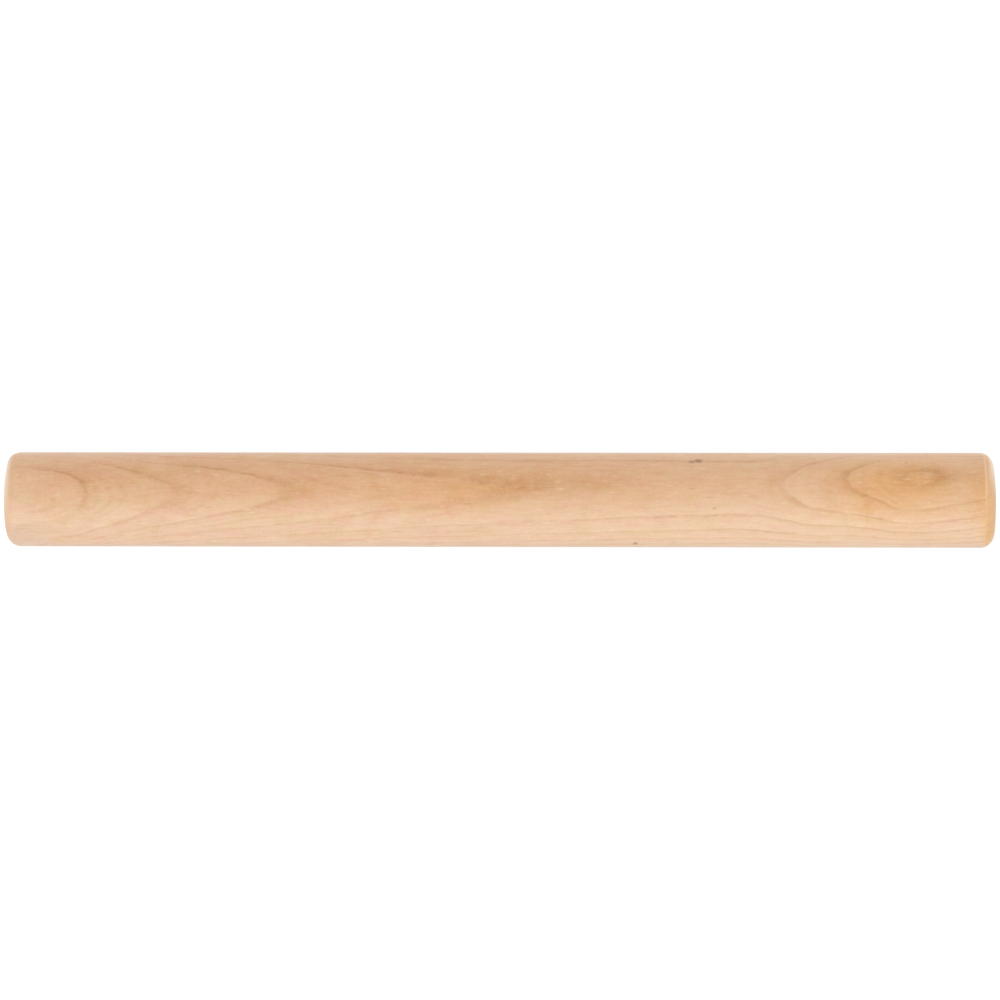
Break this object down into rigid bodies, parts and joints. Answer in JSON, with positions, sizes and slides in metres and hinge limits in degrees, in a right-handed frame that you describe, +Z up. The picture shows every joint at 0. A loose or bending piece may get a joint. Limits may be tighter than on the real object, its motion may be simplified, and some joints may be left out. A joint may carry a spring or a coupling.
{
  "type": "french rolling pin",
  "caption": "Straight solid hardwood dowel rolling pin with gently eased ends and no handles, rolled under the palms.",
  "frame": {"origin": "middle of the dowel, on its axis", "axes": "+X along the dowel towards the end at the right of the picture, +Z up from the table that it lies on, +Y away from the person who rolls"},
  "size_m": [0.52, 0.05, 0.0499],
  "materials": {
    "maple": "fine-sanded pale hard maple, unvarnished, dry satin"
  },
  "bodies": {
    "root": {"dowel": "maple"}
  },
  "joints": []
}
